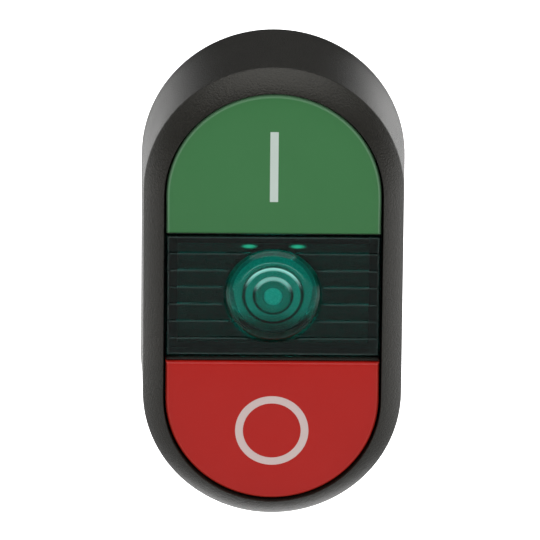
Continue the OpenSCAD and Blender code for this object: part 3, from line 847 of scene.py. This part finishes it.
# Silicone: dark grey and a little shinier than the black rubber.
silicone = soft_rubber("grey_silicone", "#3b3b3a", grain=0.8, roughness=0.5)
BOOT_BEAD_R = 6.9
BOOT_BEAD_IN = 6.0
BOOT_WALL = 0.45
STEM_R = 2.5
boot_low, boot_high = box_of("start_boot")
lip_top = -boot_low.y
bead_low = -boot_high.y
bead_top = deck_front + 0.2
for name, side, body, node in (("start_diaphragm", 1, "start_button", "start_boot"),
                               ("stop_diaphragm", -1, "stop_button", "stop_boot")):
    outer_run = [(BOOT_BEAD_R, bead_low), (BOOT_BEAD_R, bead_top), (BOOT_BEAD_IN + BOOT_WALL, bead_top)]
    outer_run += [(5.7, bead_top + 0.35), (4.9, bead_top + 1.0), (4.1, bead_top + 1.9),
                  (3.4, lip_top - 0.9), (STEM_R + 0.6, lip_top - 0.6), (STEM_R + 0.6, lip_top)]
    inner_run = [(STEM_R + 0.02, lip_top), (STEM_R + 0.02, lip_top - 1.0), (3.1, lip_top - 1.2),
                 (3.75, bead_top + 1.75), (4.55, bead_top + 0.8), (5.4, bead_top + 0.1),
                 (BOOT_BEAD_IN, bead_top - 0.2), (BOOT_BEAD_IN, bead_low)]
    boot = make_piece(name, turned(outer_run + inner_run, up=side * stem_z), silicone, None,
                      "silicone", node, sharp=50)
    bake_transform(boot)

# ---------------------------------------------------------------- barrel
# The barrel and its back plate are one black nylon moulding that clips into the bezel from behind.
# The barrel has a right-hand thread, and a plain spigot with two slots for the contact blocks.
BARREL_R = 11.0
BORE_R = 9.0
THREAD_DEPTH = 0.8
THREAD_PITCH = 1.5
SHOULDER = 2.0
THREAD_END = 17.0
SPIGOT_STEP = 1.0
SLOT_WIDTH = 3.0
SLOT_LENGTH = 2.0
KEY_WIDTH = 2.9
KEY_OUT = 1.7
KEY_LENGTH = 0.9
barrel_end = box_of("barrel")[1].y
gasket_t = -box_of("panel_gasket")[0].y
# Plain moulded nylon: black and smoother than the bezel, with a longer sheen.
plain_black = black_nylon("moulded_black_nylon", grain=0.35, roughness=0.33,
                          dark="#151412", light="#211f1c", depth=0.01)


def thread_ridge(inner, outer, first, last, steps=72):
    """A right-hand ridge wound round the barrel's axis, between two distances behind the panel.
    inner is the radius in mm of its foot, outer of its crest, whichever way it points."""
    bm = bmesh.new()
    depth = abs(outer - inner)
    half_crest, half_foot = 0.1 * THREAD_PITCH, 0.42 * THREAD_PITCH
    sink = 0.15 if outer > inner else -0.15
    section = [(inner - sink, -half_foot), (inner, -half_foot), (outer, -half_crest),
               (outer, half_crest), (inner, half_foot), (inner - sink, half_foot)]
    verts = [bm.verts.new(at(r, 0, -first - shift)) for r, shift in section]
    face = bm.faces.new(verts)
    turns = (last - first) / THREAD_PITCH
    count = round(turns * steps)
    bmesh.ops.spin(bm, geom=[face] + verts + face.edges[:], cent=(0, 0, 0), axis=(0, 1, 0),
                   angle=tau * count / steps, steps=count, use_duplicate=False,
                   dvec=at(0, 0, -THREAD_PITCH / steps))
    bmesh.ops.recalc_face_normals(bm, faces=bm.faces[:])
    return bm


barrel = bmesh.new()
plate_r = rebate_r - SET_IN
racetrack_outline(barrel, plate_r, plate_level)
circle_outline(barrel, 0, 0, plate_level, BORE_R, steps=96)
fill_and_thicken(barrel, plate_level - gasket_t)
root_r = BARREL_R - THREAD_DEPTH
spigot_r = BARREL_R - SPIGOT_STEP
tube = turned([(BORE_R, plate_level - 0.1), (BARREL_R, plate_level - 0.1), (BARREL_R, -SHOULDER + 0.2),
               (BARREL_R - 0.2, -SHOULDER), (root_r, -SHOULDER), (root_r, -(THREAD_END - 1.3)),
               (BARREL_R, -(THREAD_END - 1.3)), (BARREL_R, -(THREAD_END - 0.8)),
               (spigot_r, -THREAD_END), (spigot_r, -barrel_end + 0.35),
               (spigot_r - 0.35, -barrel_end), (BORE_R + 0.3, -barrel_end),
               (BORE_R, -barrel_end + 0.3)])
tube_piece = loose_object("tube", tube)
slots = bmesh.new()
for side in (-1, 1):
    take_in(slots, block(4, SLOT_WIDTH, -barrel_end - 1, -barrel_end + SLOT_LENGTH,
                         across=side * (BARREL_R - 1)))
apply_booleans(tube_piece, [(loose_object("slots", slots), "DIFFERENCE")])
barrel.from_mesh(tube_piece.data)
bpy.data.objects.remove(tube_piece)
take_in(barrel, thread_ridge(root_r, BARREL_R, SHOULDER - 0.2, THREAD_END - 1.4))
key = block(KEY_WIDTH, KEY_OUT + 1, -KEY_LENGTH, gasket_t + 0.1, up=BARREL_R + (KEY_OUT - 1) / 2)
round_edges(key, sharp_rims(key), 0.15, segments=2)
take_in(barrel, key)
HOOK_WIDTH, HOOK_THICKNESS, HOOK_UP, HOOK_TALL = 4.0, 1.0, 8.0, 2.8
for side in (-1, 1):
    for up in (-HOOK_UP, HOOK_UP):
        take_in(barrel, block(HOOK_THICKNESS, HOOK_WIDTH, plate_level - 0.1, plate_level + HOOK_TALL,
                              across=side * (opening_r - SET_IN - HOOK_THICKNESS / 2), up=up))
make_piece("barrel_moulding", barrel, plain_black, "head", "black_moulding", "barrel")

# ---------------------------------------------------------------- return springs
# Each return spring is wound from bright stainless wire round its plunger's leg. It stands on the
# guide plate.
SPRING_WIRE_R = 0.225
SPRING_R = 1.975
SPRING_TURNS = 6

# Drawn wire: bright grey steel with fine streaks in its gloss.
steel_wire, tree = new_material("drawn_stainless_wire")
coords = add_node(tree, "ShaderNodeTexCoord").outputs["Object"]
draw = add_node(tree, "ShaderNodeTexNoise", inputs={
    "Vector": coords, "Scale": 1 / (0.3 * MM), "Detail": 2.0})
draw_gloss = add_node(tree, "ShaderNodeMapRange", inputs={
    "Value": draw.outputs["Fac"], "To Min": 0.2, "To Max": 0.36})
show(tree, add_node(tree, "ShaderNodeBsdfPrincipled", inputs={
    "Base Color": linear("#b9bcc0"), "Metallic": 1.0, "Roughness": draw_gloss.outputs[0]}))

spring_low, spring_high = box_of("start_spring")
leg_z = (spring_low.z + spring_high.z) / 2


def coil_spring(up):
    """A closed coil spring with flat end turns, round an axis at a height."""
    bm = bmesh.new()
    first = spring_high.y - SPRING_WIRE_R
    wire = bmesh.ops.create_circle(bm, cap_ends=True, segments=10, radius=SPRING_WIRE_R * MM)
    bmesh.ops.translate(bm, vec=at(SPRING_R, up, -first), verts=wire["verts"])
    steps = 32
    length = spring_high.y - spring_low.y - 2 * SPRING_WIRE_R
    end_rise = 1.2 * SPRING_WIRE_R * 2
    middle_rise = (length - 2 * end_rise) / (SPRING_TURNS - 2)
    geom = bm.faces[:] + bm.edges[:] + bm.verts[:]
    for turns, rise in ((1, end_rise), (SPRING_TURNS - 2, middle_rise), (1, end_rise)):
        made = bmesh.ops.spin(bm, geom=geom, cent=at(0, up), axis=(0, 1, 0), angle=tau * turns,
                              steps=steps * turns, use_duplicate=False,
                              dvec=at(0, 0, rise / steps))
        geom = made["geom_last"]
    bmesh.ops.recalc_face_normals(bm, faces=bm.faces[:])
    return bm


for name, side, joint, node in (("start_return_spring", 1, "start_press", "start_spring"),
                                ("stop_return_spring", -1, "stop_press", "stop_spring")):
    spring = make_piece(name, coil_spring(side * leg_z), steel_wire, "head", "spring_steel", node,
                        sharp=60)
    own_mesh(spring)

# ---------------------------------------------------------------- gasket, washer and nut
# A flat nitrile gasket seals the head to the panel. Behind the panel a toothed zinc-plated washer
# and a fluted nylon ring nut clamp it. The nut's bore is plain and has no thread.
dress("panel_gasket", nitrile)

# Zinc plating: pale, slightly blue metal with a faint spangle.
zinc, tree = new_material("zinc_plated_steel")
coords = add_node(tree, "ShaderNodeTexCoord").outputs["Object"]
spangle = add_node(tree, "ShaderNodeTexVoronoi", inputs={"Vector": coords, "Scale": 1 / (0.8 * MM)})
zinc_tone = add_node(tree, "ShaderNodeMix", {"data_type": "RGBA"}, {
    "Factor": spangle.outputs["Distance"], "A": linear("#c3c6c8"), "B": linear("#aeb0ad")})
zinc_gloss = add_node(tree, "ShaderNodeMapRange", inputs={
    "Value": spangle.outputs["Distance"], "To Min": 0.3, "To Max": 0.42})
show(tree, add_node(tree, "ShaderNodeBsdfPrincipled", inputs={
    "Base Color": zinc_tone.outputs[2], "Metallic": 1.0, "Roughness": zinc_gloss.outputs[0]}))
dress("lock_washer", zinc)

nut_low, nut_high = box_of("ring_nut")
nut_r = nut_high.x
NUT_BORE_R = 11.05
FLUTES = 12
FLUTE_R = 1.3
nut = loose_object("nut", turned([
    (NUT_BORE_R, -nut_low.y - 0.3), (NUT_BORE_R + 0.3, -nut_low.y), (nut_r - 0.3, -nut_low.y),
    (nut_r, -nut_low.y - 0.3), (nut_r, -nut_high.y + 0.6), (nut_r - 0.6, -nut_high.y),
    (NUT_BORE_R + 0.3, -nut_high.y), (NUT_BORE_R, -nut_high.y + 0.3)], steps=144))
flutes = bmesh.new()
for turn in range(FLUTES):
    angle = tau * turn / FLUTES
    take_in(flutes, turned([(0, -nut_high.y - 1), (FLUTE_R, -nut_high.y - 1),
                            (FLUTE_R, -nut_low.y - 1.2), (0, -nut_low.y - 1.2)],
                           across=(nut_r + 0.3) * cos(angle), up=(nut_r + 0.3) * sin(angle),
                           steps=24, closed=False))
apply_booleans(nut, [(loose_object("flutes", flutes), "DIFFERENCE")])
nut_bm = bmesh.new()
nut_bm.from_mesh(nut.data)
bpy.data.objects.remove(nut)
make_piece("ring_nut_moulding", nut_bm, plain_black, "nut", "black_moulding", "ring_nut")
